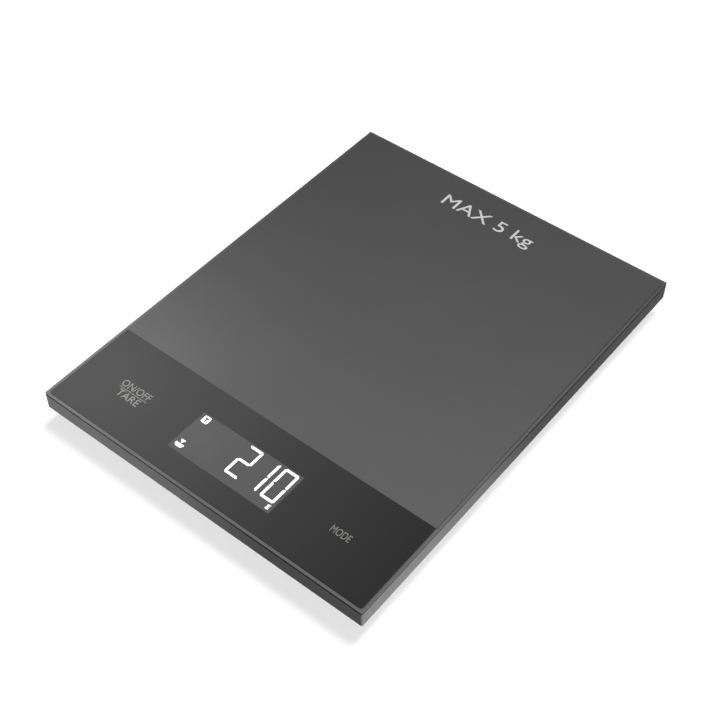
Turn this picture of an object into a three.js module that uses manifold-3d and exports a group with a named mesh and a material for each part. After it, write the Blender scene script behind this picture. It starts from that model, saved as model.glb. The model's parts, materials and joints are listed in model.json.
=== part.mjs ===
// A slim kitchen scale with a glass platform, a lit display and two touch keys.
// Millimetres. +Z is up and z = 0 is the worktop. -Y is the front, where the display is, and +X is
// the right-hand side of a person who reads it.

import * as THREE from 'three';
import { mergeVertices } from 'three/addons/utils/BufferGeometryUtils.js';
import Module from 'manifold-3d';

const wasm = await Module();
wasm.setup();

// ---- Driving dimensions ----------------------------------------------------------------------

const WIDTH = 180;
const LENGTH = 232;
const HEIGHT = 18;
const SIDE_HEIGHT = 9.6; // the side band, from under the tray to the glass
const GAP = 0.3; // clearance between pieces that rest on each other
const WELD = 0.1; // how far two joined solids run into each other
const PAST = 1; // how far a cut runs past the material it goes through

const SIDE_BOTTOM = HEIGHT - SIDE_HEIGHT;
const CORNER = 0.8;

// Glass and the tray that frames it
const GLASS_THICKNESS = 4;
const RIM_WIDTH = 1.4;
const RIM_DROP = 0.2; // the rim lies this far below the glass
const GLASS_CORNER = 1.2;
const LIP_THICKNESS = 0.5;
const GROOVE_HEIGHT = 0.7;
const GROOVE_DEPTH = 0.5;
const TRAY_WALL = 2;
const PLATE_THICKNESS = 1.6;
const TAPE_WIDTH = 6;
const TAPE_THICKNESS = 0.4;
const RIB_THICKNESS = 1.4;

const GLASS_BOTTOM = HEIGHT - GLASS_THICKNESS;
const RIM_TOP = HEIGHT - RIM_DROP;
const PLATE_TOP = GLASS_BOTTOM - TAPE_THICKNESS - 2 * GAP;
const PLATE_BOTTOM = PLATE_TOP - PLATE_THICKNESS;

// Base housing: a flange inside the tray and a tapered tray below it
const BASE_BOTTOM = 1.6;
const BASE_WALL = 1.8;
const BASE_FLOOR_TOP = 3.2;
const BASE_HALF_WIDTH = 73;
const BASE_HALF_LENGTH = 103.5;
const BASE_FLARE = 4; // how much wider the tapered tray is at its flange
const FLANGE_BOTTOM = SIDE_BOTTOM + GAP;
const FLANGE_TOP = FLANGE_BOTTOM + 1.4;
const BASE_CORNER = 10;
const RIB_BOTTOM = FLANGE_TOP + GAP;

// Feet and load cells
const FOOT_X = 55.5;
const FOOT_Y = 84.5;
const FOOT_TRAVEL = 0.6;
const PAD_RADIUS = 8;
const PAD_THICKNESS = 1.5;
const CUP_RADIUS = 10;
const CUP_BOTTOM = 0.8;
const CUP_FLANGE_RADIUS = 11.2;
const CUP_FLANGE_THICKNESS = 0.8;
const FOOT_HOLE_RADIUS = 10.5;
const POST_RADIUS = 3;
const CUP_CHAMFER = 0.4;
const PAD_CHAMFER = 0.5;
const CELL_SIZE = 24.8;
const CELL_THICKNESS = 1.2;
const CELL_BOTTOM = 6.9;
const CELL_SLOT = 1.6;
const TONGUE_WIDTH = 7;
const TONGUE_LENGTH = 14;
const GAUGE = { width: 5, depth: 4, height: 0.4, offset: 5 };
const HOLDER_LIP = 1;
const LEAD_RADIUS = 0.7;
const LEAD_SIDES = 6;

// Display and electronics
const DISPLAY_X = 1.6;
const DISPLAY_Y = -91.6;
const KEY_Y = -92.3;
const KEY_LEFT_X = -58.6;
const KEY_RIGHT_X = 60.2;
const PANEL_WIDTH = 60;
const PANEL_DEPTH = 26.5;
const PANEL_THICKNESS = 1.8;
const FILM_THICKNESS = 0.3;
const BOARD_WIDTH = 78;
const BOARD_DEPTH = 25;
const BOARD_BOTTOM = 7.1;
const BOARD_THICKNESS = 1.6;
const BOARD_TOP = BOARD_BOTTOM + BOARD_THICKNESS;
const BOARD_SCREW_X = 36;
const BOARD_SCREW_Y = 9.6;

// Batteries, two AAA cells side by side
const BAY_Y = 24;
const BAY_HALF_WIDTH = 25.5;
const BAY_HALF_DEPTH = 11.6;
const BAY_WALL = 1.6;
const BAY_WALL_TOP = 9.8;
const BATTERY_RADIUS = 5.25;
const BATTERY_LENGTH = 44.5;
const BATTERY_END_ROOM = 5.3; // from the bay's wall to a battery's flat end, for the spring
const NUB_LENGTH = 1.2;
const NUB_RADIUS = 1.9;
const NUB_ROOT = 0.5; // how far the nub starts inside the can
const BATTERY_SIDES = 24;
const BATTERY_Z = 8.35;
const BATTERY_SPACING = 11.2;
const CONTACT_THICKNESS = 0.4;
const CONTACT_BELOW = 4.2; // the contact plates' reach below and above the battery's axis
const CONTACT_ABOVE = 3.6;
const SPRING = { wire: 0.35, turns: 2.5, length: 3.5, wide: 3.2, narrow: 2, sides: 5, steps: 22 };
const DOOR_THICKNESS = 1.2;
const HINGE_INSET = 1.7; // from the bay's back edge to the door's hinge line
const HINGE_Z = BASE_BOTTOM + DOOR_THICKNESS / 2;
const STUB_RADIUS = 0.55;
const STUB_REACH = 1.1; // how far each hinge stub stands out of the door's side
const STUB_END_ROOM = 0.4; // from a stub's end to the end of its pocket
const SNAP_ARM = { width: 9, thickness: 1, height: 1.3, inset: 1.1 };
const GRIP = { width: 14, depth: 0.7, height: 0.35, inset: 2.6, pitch: 1.6, count: 3 };

// Screws
const SCREW_X = 82.3;
const SCREW_ROWS = [-96, 0, 96];
const SCREW_HEAD_RADIUS = 2.6;
const SCREW_HEAD_HEIGHT = 1.5;
const SCREW_HEAD_EDGE = 0.9; // height of the head's straight side
const SCREW_LENGTH = 3.6;
const SCREW_RADIUS = 1;
const SCREW_HOLE_RADIUS = SCREW_RADIUS + GAP;
const BOARD_SCREW = { headRadius: 2.1, headHeight: 1.2, crown: 0.8, length: 4.4 };
const SMALL_ROUND = 12; // sides of small round holes and bosses

const CORNERS = [
  { name: 'front_left', x: -1, y: -1 },
  { name: 'front_right', x: 1, y: -1 },
  { name: 'back_left', x: -1, y: 1 },
  { name: 'back_right', x: 1, y: 1 },
];

// ---- Solids ----------------------------------------------------------------------------------

function solid(geometry) {
  geometry.deleteAttribute('normal');
  geometry.deleteAttribute('uv');
  const merged = mergeVertices(geometry, 1e-4);
  return new wasm.Manifold(new wasm.Mesh({
    numProp: 3,
    vertProperties: new Float32Array(merged.attributes.position.array),
    triVerts: new Uint32Array(merged.index.array),
  }));
}

function block(width, depth, bottom, top, x = 0, y = 0) {
  const box = new THREE.BoxGeometry(width, depth, top - bottom);
  box.translate(x, y, (bottom + top) / 2);
  return solid(box);
}

function drum(radius, bottom, top, x = 0, y = 0, sides = 20) {
  const cylinder = new THREE.CylinderGeometry(radius, radius, top - bottom, sides);
  cylinder.rotateX(Math.PI / 2);
  cylinder.translate(x, y, (bottom + top) / 2);
  return solid(cylinder);
}

// A cylinder that lies along X.
function roller(radius, left, right, y, z, sides = 12) {
  const cylinder = new THREE.CylinderGeometry(radius, radius, right - left, sides);
  cylinder.rotateZ(Math.PI / 2);
  cylinder.translate((left + right) / 2, y, z);
  return solid(cylinder);
}

function roundedRectangle(width, depth, corner) {
  const x = width / 2 - corner;
  const y = depth / 2 - corner;
  const shape = new THREE.Shape();
  shape.absarc(x, y, corner, 0, Math.PI / 2);
  shape.absarc(-x, y, corner, Math.PI / 2, Math.PI);
  shape.absarc(-x, -y, corner, Math.PI, 1.5 * Math.PI);
  shape.absarc(x, -y, corner, 1.5 * Math.PI, 2 * Math.PI);
  return shape;
}

// A flat plate with round corners. A flare makes its top that much larger on every side.
function plate(width, depth, corner, bottom, top, flare = 0, segments = 4) {
  const shape = roundedRectangle(width, depth, corner);
  const geometry = new THREE.ExtrudeGeometry(shape, {
    depth: top - bottom,
    bevelEnabled: false,
    curveSegments: segments,
  });
  const position = geometry.attributes.position;
  for (let i = 0; i < position.count; i += 1) {
    if (position.getZ(i) > 0) {
      position.setX(i, position.getX(i) + Math.sign(position.getX(i)) * flare);
      position.setY(i, position.getY(i) + Math.sign(position.getY(i)) * flare);
    }
  }
  geometry.translate(0, 0, bottom);
  return solid(geometry);
}

// A turned solid round a vertical axis. The profile is [radius, height] pairs from axis to axis.
function turned(profile, x, y, sides = 20) {
  const points = profile.map(([radius, height]) => new THREE.Vector2(radius, height));
  const geometry = new THREE.LatheGeometry(points, sides);
  geometry.rotateX(Math.PI / 2);
  geometry.translate(x, y, 0);
  return solid(geometry);
}

// A round wire or lead that follows a curve.
function wire(curve, radius, sides, steps) {
  const section = new THREE.Shape();
  for (let i = 0; i < sides; i += 1) {
    const angle = (2 * Math.PI * i) / sides;
    const method = i === 0 ? 'moveTo' : 'lineTo';
    section[method](radius * Math.cos(angle), radius * Math.sin(angle));
  }
  section.closePath();
  return solid(new THREE.ExtrudeGeometry(section, { steps, bevelEnabled: false, extrudePath: curve }));
}

function route(points) {
  return new THREE.CatmullRomCurve3(points.map((p) => new THREE.Vector3(...p)), false, 'centripetal');
}

// ---- Materials -------------------------------------------------------------------------------

function finish(color, roughness, metalness = 0) {
  return new THREE.MeshStandardMaterial({ color, roughness, metalness });
}

const smokedGlass = () => finish(0x4c4c4d, 0.25);
const greyPlastic = () => finish(0x5a5a5b, 0.6);
const blackPlastic = () => finish(0x2a2a2b, 0.65);
const whitePlastic = () => finish(0xe6e6e2, 0.5);
const rubber = () => finish(0x3a3a3a, 0.9);
const steel = () => finish(0xb4b6b8, 0.35, 1);
const boardGreen = () => finish(0x1d5a3a, 0.5);
const filmAmber = () => finish(0xb07a30, 0.4);
const tapeBlack = () => finish(0x161616, 0.95);
const labelSilver = () => finish(0xc9cacb, 0.5);
const displayGlass = () => finish(0x25282b, 0.15);

// ---- The assembly ----------------------------------------------------------------------------

const scale = new THREE.Group();

function piece(name, body, material) {
  const mesh = body.getMesh();
  const geometry = new THREE.BufferGeometry();
  geometry.setAttribute('position', new THREE.BufferAttribute(mesh.vertProperties, 3));
  geometry.setIndex(new THREE.BufferAttribute(mesh.triVerts, 1));
  geometry.computeVertexNormals();
  const part = new THREE.Mesh(geometry, material);
  part.name = name;
  scale.add(part);
}

// ---- Glass platform --------------------------------------------------------------------------

function glassPlatform() {
  const inset = 2 * (RIM_WIDTH + GAP);
  return plate(WIDTH - inset, LENGTH - inset, GLASS_CORNER, GLASS_BOTTOM, HEIGHT);
}

function bondingTape() {
  const inset = 2 * (RIM_WIDTH + 2 * GAP);
  const bottom = PLATE_TOP + GAP;
  const top = bottom + TAPE_THICKNESS;
  const outer = plate(WIDTH - inset, LENGTH - inset, GLASS_CORNER, bottom, top);
  const hole = inset + 2 * TAPE_WIDTH;
  return outer.subtract(block(WIDTH - hole, LENGTH - hole, bottom - PAST, top + PAST));
}

// ---- Platform tray ---------------------------------------------------------------------------

const DISPLAY_OPENING = { width: 70, depth: 31 };
const BAY_OPENING = { width: 66, depth: 28 };
const RIB_COLUMNS = [-46, 46];
const RIB_ROWS = [-66, -20, 52, 92];
const BOSS_RADIUS = 3.6;
const BOSS_SIDES = 16;
const SCREW_HOLE_SKIN = 0.4; // left above each blind screw hole

function shadowGroove() {
  const top = RIM_TOP - LIP_THICKNESS;
  const bottom = top - GROOVE_HEIGHT;
  const around = plate(WIDTH + 2 * PAST, LENGTH + 2 * PAST, CORNER, bottom, top);
  const inset = 2 * GROOVE_DEPTH;
  return around.subtract(plate(WIDTH - inset, LENGTH - inset, CORNER, bottom - PAST, top + PAST));
}

function trayShell() {
  const wall = 2 * TRAY_WALL;
  const rim = 2 * RIM_WIDTH;
  const outer = plate(WIDTH, LENGTH, CORNER, SIDE_BOTTOM, RIM_TOP);
  const pocketCorner = GLASS_CORNER + GAP;
  const glassPocket = plate(WIDTH - rim, LENGTH - rim, pocketCorner, PLATE_TOP, RIM_TOP + PAST);
  const underside = plate(WIDTH - wall, LENGTH - wall, CORNER, SIDE_BOTTOM - PAST, PLATE_BOTTOM);
  return outer.subtract(glassPocket).subtract(underside).subtract(shadowGroove());
}

function trayRibs() {
  const inside = 2 * TRAY_WALL;
  const heights = [RIB_BOTTOM, PLATE_BOTTOM + WELD];
  const columns = RIB_COLUMNS.map((x) => block(RIB_THICKNESS, LENGTH - inside, ...heights, x));
  const rows = RIB_ROWS.map((y) => block(WIDTH - inside, RIB_THICKNESS, ...heights, 0, y));
  return [...columns, ...rows];
}

function platformTray() {
  let tray = trayShell();
  for (const rib of trayRibs()) {
    tray = tray.add(rib);
  }
  for (const y of SCREW_ROWS) {
    for (const side of [-1, 1]) {
      const x = side * SCREW_X;
      tray = tray.add(drum(BOSS_RADIUS, RIB_BOTTOM, PLATE_BOTTOM + WELD, x, y, BOSS_SIDES));
      const holeTop = PLATE_TOP - SCREW_HOLE_SKIN;
      tray = tray.subtract(drum(SCREW_HOLE_RADIUS, RIB_BOTTOM - PAST, holeTop, x, y, SMALL_ROUND));
    }
  }
  const { width, depth } = DISPLAY_OPENING;
  const through = [RIB_BOTTOM - PAST, PLATE_TOP + PAST];
  tray = tray.subtract(block(width, depth, ...through, DISPLAY_X, DISPLAY_Y));
  return tray.subtract(block(BAY_OPENING.width, BAY_OPENING.depth, ...through, 0, BAY_Y));
}

// ---- Base housing ----------------------------------------------------------------------------

const NOTCH_RADIUS = 8;
const NOTCH_DEPTH = 0.9;
const LABEL_X = 0;
const LABEL_Y = -34;
const LABEL_WIDTH = 62;
const LABEL_DEPTH = 34;
const LABEL_THICKNESS = 0.2;
const LABEL_RECESS = 0.6;
const BOARD_BOSS_RADIUS = 2.8;
const BOARD_BOSS_FLOOR = 0.6; // solid below each blind hole in a board boss
const BASE_CORNER_SEGMENTS = 6;

function baseShell() {
  const width = 2 * BASE_HALF_WIDTH;
  const length = 2 * BASE_HALF_LENGTH;
  const flange = 2 * (TRAY_WALL + GAP);
  const slope = BASE_FLARE / (FLANGE_BOTTOM - BASE_BOTTOM);
  const innerFlare = slope * (FLANGE_TOP + GAP - BASE_FLOOR_TOP);
  const wall = 2 * (BASE_WALL - slope * (BASE_FLOOR_TOP - BASE_BOTTOM));
  const innerCorner = BASE_CORNER - BASE_WALL;
  const tub = plate(
    width, length, BASE_CORNER, BASE_BOTTOM, FLANGE_BOTTOM, BASE_FLARE, BASE_CORNER_SEGMENTS);
  const outer = tub.add(
    plate(WIDTH - flange, LENGTH - flange, CORNER, FLANGE_BOTTOM, FLANGE_TOP));
  const inner = plate(
    width - wall, length - wall, innerCorner, BASE_FLOOR_TOP, FLANGE_TOP + GAP, innerFlare,
    BASE_CORNER_SEGMENTS);
  return outer.subtract(inner);
}

function bayWalls() {
  const width = 2 * BAY_HALF_WIDTH;
  const depth = 2 * BAY_HALF_DEPTH;
  const outer = block(
    width + 2 * BAY_WALL, depth + 2 * BAY_WALL, BASE_FLOOR_TOP - WELD, BAY_WALL_TOP, 0, BAY_Y);
  return outer.subtract(block(width, depth, BASE_BOTTOM, BAY_WALL_TOP + PAST, 0, BAY_Y));
}

// The door's opening, the pockets for its hinge stubs and the hollow for a fingertip.
function doorOpening() {
  const hingeY = BAY_Y + BAY_HALF_DEPTH - HINGE_INSET;
  const reach = BAY_HALF_WIDTH - GAP + STUB_REACH + STUB_END_ROOM;
  const hole = block(
    2 * BAY_HALF_WIDTH, 2 * BAY_HALF_DEPTH, BASE_BOTTOM - PAST, BASE_FLOOR_TOP + PAST, 0, BAY_Y);
  const pockets = roller(STUB_RADIUS + GAP, -reach, reach, hingeY, HINGE_Z);
  const notch = drum(
    NOTCH_RADIUS, BASE_BOTTOM - PAST, BASE_BOTTOM + NOTCH_DEPTH, 0, BAY_Y - BAY_HALF_DEPTH);
  return hole.add(pockets).add(notch);
}

function baseHousing() {
  let base = baseShell().add(bayWalls()).subtract(doorOpening());
  for (const corner of CORNERS) {
    const x = corner.x * FOOT_X;
    const y = corner.y * FOOT_Y;
    base = base.subtract(
      drum(FOOT_HOLE_RADIUS, BASE_BOTTOM - PAST, BASE_FLOOR_TOP + PAST, x, y));
    const boardX = DISPLAY_X + corner.x * BOARD_SCREW_X;
    const boardY = DISPLAY_Y + corner.y * BOARD_SCREW_Y;
    const place = [boardX, boardY, SMALL_ROUND];
    base = base.add(
      drum(BOARD_BOSS_RADIUS, BASE_FLOOR_TOP - WELD, BOARD_BOTTOM - GAP, ...place));
    base = base.subtract(
      drum(SCREW_HOLE_RADIUS, BASE_FLOOR_TOP + BOARD_BOSS_FLOOR, BOARD_BOTTOM, ...place));
  }
  for (const y of SCREW_ROWS) {
    for (const side of [-1, 1]) {
      const place = [side * SCREW_X, y, SMALL_ROUND];
      base = base.subtract(
        drum(SCREW_HOLE_RADIUS, FLANGE_BOTTOM - PAST, FLANGE_TOP + PAST, ...place));
    }
  }
  const recess = block(
    LABEL_WIDTH, LABEL_DEPTH, BASE_BOTTOM - PAST, BASE_BOTTOM + LABEL_RECESS, LABEL_X, LABEL_Y);
  return base.subtract(recess);
}

function ratingLabel() {
  const top = BASE_BOTTOM + LABEL_RECESS - GAP;
  return block(
    LABEL_WIDTH - 2 * GAP, LABEL_DEPTH - 2 * GAP, top - LABEL_THICKNESS, top, LABEL_X, LABEL_Y);
}

// ---- Screws ----------------------------------------------------------------------------------

// A pan-head screw that points up, its head below the base's flange.
function baseScrew(x, y) {
  const seat = FLANGE_BOTTOM - GAP;
  const crownRadius = 0.75 * SCREW_HEAD_RADIUS;
  const tip = seat + SCREW_LENGTH;
  return turned([
    [0, seat - SCREW_HEAD_HEIGHT],
    [crownRadius, seat - SCREW_HEAD_HEIGHT],
    [SCREW_HEAD_RADIUS, seat - SCREW_HEAD_EDGE],
    [SCREW_HEAD_RADIUS, seat],
    [SCREW_RADIUS, seat],
    [SCREW_RADIUS, tip],
    [0, tip],
  ], x, y, BOSS_SIDES);
}

// A small screw that points down, its head above the main board.
function boardScrew(x, y) {
  const seat = BOARD_TOP + GAP;
  const { headRadius, headHeight, crown, length } = BOARD_SCREW;
  return turned([
    [0, seat - length],
    [SCREW_RADIUS, seat - length],
    [SCREW_RADIUS, seat],
    [headRadius, seat],
    [headRadius * crown, seat + headHeight],
    [0, seat + headHeight],
  ], x, y, SMALL_ROUND);
}

// ---- Feet and load cells ---------------------------------------------------------------------

function footCup(x, y) {
  const recessTop = PAD_THICKNESS + GAP;
  const flangeBottom = BASE_FLOOR_TOP + GAP;
  const flangeTop = flangeBottom + CUP_FLANGE_THICKNESS;
  const postTop = CELL_BOTTOM - GAP - FOOT_TRAVEL;
  return turned([
    [0, recessTop],
    [PAD_RADIUS + GAP, recessTop],
    [PAD_RADIUS + GAP, CUP_BOTTOM],
    [CUP_RADIUS - CUP_CHAMFER, CUP_BOTTOM],
    [CUP_RADIUS, CUP_BOTTOM + CUP_CHAMFER],
    [CUP_RADIUS, flangeBottom],
    [CUP_FLANGE_RADIUS, flangeBottom],
    [CUP_FLANGE_RADIUS, flangeTop],
    [POST_RADIUS, flangeTop],
    [POST_RADIUS, postTop],
    [0, postTop],
  ], x, y);
}

function footPad(x, y) {
  return turned([
    [0, 0],
    [PAD_RADIUS - PAD_CHAMFER, 0],
    [PAD_RADIUS, PAD_CHAMFER],
    [PAD_RADIUS, PAD_THICKNESS],
    [0, PAD_THICKNESS],
  ], x, y);
}

// A stamped plate whose centre tongue bends under load. The gauge sits on the tongue's root,
// which points to the middle of the scale along Y.
function loadCell(x, y, inward) {
  const top = CELL_BOTTOM + CELL_THICKNESS;
  const slotWidth = TONGUE_WIDTH + 2 * CELL_SLOT;
  const slotLength = TONGUE_LENGTH + CELL_SLOT;
  const cuts = [CELL_BOTTOM - PAST, top + PAST];
  const slot = block(slotWidth, slotLength, ...cuts, x, y)
    .subtract(block(TONGUE_WIDTH, slotLength, ...cuts, x, y + inward * CELL_SLOT));
  const gaugeY = y + inward * GAUGE.offset;
  const gauge = block(GAUGE.width, GAUGE.depth, top - WELD, top + GAUGE.height, x, gaugeY);
  return block(CELL_SIZE, CELL_SIZE, CELL_BOTTOM, top, x, y).subtract(slot).add(gauge);
}

function cellHolder(x, y) {
  const bottom = BASE_FLOOR_TOP + GAP;
  const seat = CELL_BOTTOM - GAP;
  const top = CELL_BOTTOM + CELL_THICKNESS;
  const pocket = CELL_SIZE + 2 * GAP;
  const outer = pocket + 2 * HOLDER_LIP;
  const throat = pocket - 2 * HOLDER_LIP;
  return block(outer, outer, bottom, top, x, y)
    .subtract(block(pocket, pocket, seat, top + PAST, x, y))
    .subtract(block(throat, throat, bottom - PAST, seat + PAST, x, y));
}

// ---- Battery bay -----------------------------------------------------------------------------

function batteryDoor() {
  const halfWidth = BAY_HALF_WIDTH - GAP;
  const halfDepth = BAY_HALF_DEPTH - GAP;
  const top = BASE_BOTTOM + DOOR_THICKNESS;
  const hingeY = BAY_Y + BAY_HALF_DEPTH - HINGE_INSET;
  const stubReach = halfWidth + STUB_REACH;
  const front = BAY_Y - halfDepth;
  const { width, thickness, height, inset } = SNAP_ARM;
  const snapArm = block(width, thickness, top - WELD, top + height, 0, front + inset);
  let door = block(2 * halfWidth, 2 * halfDepth, BASE_BOTTOM, top, 0, BAY_Y)
    .add(roller(STUB_RADIUS, -stubReach, stubReach, hingeY, HINGE_Z))
    .add(snapArm);
  const grooveTop = BASE_BOTTOM + GRIP.height;
  for (let step = 0; step < GRIP.count; step += 1) {
    const y = front + GRIP.inset + step * GRIP.pitch;
    door = door.subtract(block(GRIP.width, GRIP.depth, BASE_BOTTOM - PAST, grooveTop, 0, y));
  }
  return door;
}

// One AAA cell. Its positive nub points to +X or -X.
function battery(direction, y) {
  const negativeEnd = -direction * (BAY_HALF_WIDTH - BATTERY_END_ROOM);
  const shoulder = negativeEnd + direction * (BATTERY_LENGTH - NUB_LENGTH);
  const tip = negativeEnd + direction * BATTERY_LENGTH;
  const root = shoulder - direction * NUB_ROOT;
  const between = (a, b) => [Math.min(a, b), Math.max(a, b)];
  const body = roller(BATTERY_RADIUS, ...between(negativeEnd, shoulder), y, BATTERY_Z, BATTERY_SIDES);
  return body.add(roller(NUB_RADIUS, ...between(root, tip), y, BATTERY_Z));
}

function contactPlate(side, y, width) {
  const x = side * (BAY_HALF_WIDTH - GAP - CONTACT_THICKNESS / 2);
  return block(
    CONTACT_THICKNESS, width, BATTERY_Z - CONTACT_BELOW, BATTERY_Z + CONTACT_ABOVE, x, y);
}

// A conical wire spring that stands on the contact plate and presses on a battery's flat end.
function contactSpring(side, y) {
  const root = BAY_HALF_WIDTH - GAP - CONTACT_THICKNESS + WELD;
  class Cone extends THREE.Curve {
    getPoint(t, target = new THREE.Vector3()) {
      const angle = 2 * Math.PI * SPRING.turns * t;
      const radius = SPRING.wide + (SPRING.narrow - SPRING.wide) * t;
      const x = side * (root - SPRING.length * t);
      return target.set(x, y + radius * Math.cos(angle), BATTERY_Z + radius * Math.sin(angle));
    }
  }
  return wire(new Cone(), SPRING.wire, SPRING.sides, SPRING.steps);
}

// ---- Display and electronics -----------------------------------------------------------------

const HOLDER_SIDE = 1.7;
const HOLDER_END = 1.5;

function displayHolder() {
  const width = PANEL_WIDTH + 2 * GAP;
  const depth = PANEL_DEPTH + 2 * GAP;
  const bottom = FLANGE_TOP + GAP;
  const outerWidth = width + 2 * HOLDER_SIDE;
  const outerDepth = depth + 2 * HOLDER_END;
  return block(outerWidth, outerDepth, bottom, PLATE_TOP, DISPLAY_X, DISPLAY_Y)
    .subtract(block(width, depth, bottom - PAST, PLATE_TOP + PAST, DISPLAY_X, DISPLAY_Y));
}

const PANEL_TOP = GLASS_BOTTOM - GAP;
const PANEL_BOTTOM = PANEL_TOP - PANEL_THICKNESS;
const STRIP_DEPTH = 2;
const STRIP_WIDTH = 50;
const STRIP_Y = DISPLAY_Y - PANEL_DEPTH / 2 + STRIP_DEPTH / 2 + 3 * GAP;

function displayPanel() {
  return block(PANEL_WIDTH, PANEL_DEPTH, PANEL_BOTTOM, PANEL_TOP, DISPLAY_X, DISPLAY_Y);
}

function backlight() {
  const depth = PANEL_DEPTH - STRIP_DEPTH - 6 * GAP;
  const y = DISPLAY_Y + PANEL_DEPTH / 2 - GAP - depth / 2;
  return block(PANEL_WIDTH - 2, depth, BOARD_TOP + GAP, PANEL_BOTTOM - GAP, DISPLAY_X, y);
}

function connectorStrip() {
  return block(STRIP_WIDTH, STRIP_DEPTH, BOARD_TOP + GAP, PANEL_BOTTOM - GAP, DISPLAY_X, STRIP_Y);
}

const ELECTRODE_RADIUS = 9;
const FILM_DEPTH = 29;
const FILM_WINDOW = { width: PANEL_WIDTH + 1.4, depth: PANEL_DEPTH + 0.8 };
const FILM_TAIL = { width: 8, foot: 3, inset: 1.4 };

// A flexible film under the glass: a round electrode below each key, a window for the display and
// a tail that drops to the main board.
function touchFilm() {
  const top = GLASS_BOTTOM - GAP;
  const bottom = top - FILM_THICKNESS;
  const tailX = DISPLAY_X + DISPLAY_OPENING.width / 2 - FILM_TAIL.inset;
  const footTop = BOARD_TOP + GAP + FILM_THICKNESS;
  const between = KEY_RIGHT_X - KEY_LEFT_X;
  const web = block(between, FILM_DEPTH, bottom, top, (KEY_LEFT_X + KEY_RIGHT_X) / 2, DISPLAY_Y);
  const window = block(
    FILM_WINDOW.width, FILM_WINDOW.depth, bottom - PAST, top + PAST, DISPLAY_X, DISPLAY_Y);
  const { width, foot } = FILM_TAIL;
  return web
    .add(drum(ELECTRODE_RADIUS, bottom, top, KEY_LEFT_X, KEY_Y))
    .add(drum(ELECTRODE_RADIUS, bottom, top, KEY_RIGHT_X, KEY_Y))
    .subtract(window)
    .add(block(FILM_THICKNESS, width, BOARD_TOP + GAP, top, tailX, DISPLAY_Y))
    .add(block(foot, width, BOARD_TOP + GAP, footTop, tailX + foot / 2, DISPLAY_Y));
}

function mainBoard() {
  let board = block(BOARD_WIDTH, BOARD_DEPTH, BOARD_BOTTOM, BOARD_TOP, DISPLAY_X, DISPLAY_Y);
  for (const corner of CORNERS) {
    const x = DISPLAY_X + corner.x * BOARD_SCREW_X;
    const y = DISPLAY_Y + corner.y * BOARD_SCREW_Y;
    board = board.subtract(
      drum(SCREW_HOLE_RADIUS, BOARD_BOTTOM - PAST, BOARD_TOP + PAST, x, y, SMALL_ROUND));
  }
  return board;
}

// A component soldered under the board, hanging down from it.
function underBoard(width, depth, height, x, y) {
  const top = BOARD_BOTTOM - GAP;
  return block(width, depth, top - height, top, DISPLAY_X + x, DISPLAY_Y + y);
}

const SOCKET_X = 24;
const SOCKET_BACK = DISPLAY_Y + 11.7;
const LEAD_Z = BASE_FLOOR_TOP + 1.8;
const BATTERY_LEAD_RADIUS = 0.6;

// A load cell's lead: over the holder's lip, down to the floor and forward to its board socket.
function cellLead(corner) {
  const x = corner.x * FOOT_X;
  const lipY = corner.y * (FOOT_Y - CELL_SIZE / 2 - GAP - HOLDER_LIP);
  const socketX = DISPLAY_X + corner.x * (SOCKET_X - corner.y * 3);
  const overZ = CELL_BOTTOM + CELL_THICKNESS + 1.3;
  const start = [
    [x, lipY + corner.y * 6, overZ],
    [x, lipY, overZ],
    [x, lipY - corner.y * 3, overZ - 0.8],
    [x - corner.x * 2, lipY - corner.y * 6, LEAD_Z],
  ];
  const alongSide = corner.y > 0 ? [
    [corner.x * 40, 40, LEAD_Z],
    [corner.x * 38, -20, LEAD_Z],
    [corner.x * 25, -54, LEAD_Z],
  ] : [
    [corner.x * 42, -62, LEAD_Z],
  ];
  const end = [
    [socketX, SOCKET_BACK + 8, LEAD_Z],
    [socketX, SOCKET_BACK + GAP, LEAD_Z],
  ];
  const steps = corner.y > 0 ? 28 : 18;
  return wire(route([...start, ...alongSide, ...end]), LEAD_RADIUS, LEAD_SIDES, steps);
}

// A battery lead: up from its contact, over the bay wall and forward along the floor.
function batteryLead(y, lane, endX) {
  const x = -(BAY_HALF_WIDTH - GAP - CONTACT_THICKNESS / 2);
  const top = BATTERY_Z + CONTACT_ABOVE;
  const outX = x - 4.6 - 2 * lane;
  return wire(route([
    [x, y, top + 0.8],
    [x - 1.8, y, top + 1],
    [outX + 0.8, y, top - 1],
    [outX, y, top - 4],
    [outX, y - 2, LEAD_Z + 1],
    [outX, y - 8, LEAD_Z],
    [outX + 1, -20, LEAD_Z],
    [endX, -60, LEAD_Z],
    [endX, SOCKET_BACK + 1, LEAD_Z],
  ]), BATTERY_LEAD_RADIUS, LEAD_SIDES, 30);
}

// ---- Putting it together ---------------------------------------------------------------------

piece('glass_platform', glassPlatform(), smokedGlass());
piece('glass_tape', bondingTape(), tapeBlack());
piece('platform_tray', platformTray(), greyPlastic());
piece('base_housing', baseHousing(), blackPlastic());
piece('rating_label', ratingLabel(), labelSilver());

SCREW_ROWS.forEach((y, row) => {
  for (const side of [-1, 1]) {
    const name = `base_screw_${['front', 'middle', 'back'][row]}_${side < 0 ? 'left' : 'right'}`;
    piece(name, baseScrew(side * SCREW_X, y), steel());
  }
});

for (const corner of CORNERS) {
  const x = corner.x * FOOT_X;
  const y = corner.y * FOOT_Y;
  piece(`foot_cup_${corner.name}`, footCup(x, y), blackPlastic());
  piece(`foot_pad_${corner.name}`, footPad(x, y), rubber());
  piece(`load_cell_${corner.name}`, loadCell(x, y, -corner.y), steel());
  piece(`cell_holder_${corner.name}`, cellHolder(x, y), whitePlastic());
  piece(`cell_lead_${corner.name}`, cellLead(corner), whitePlastic());
}

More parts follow.
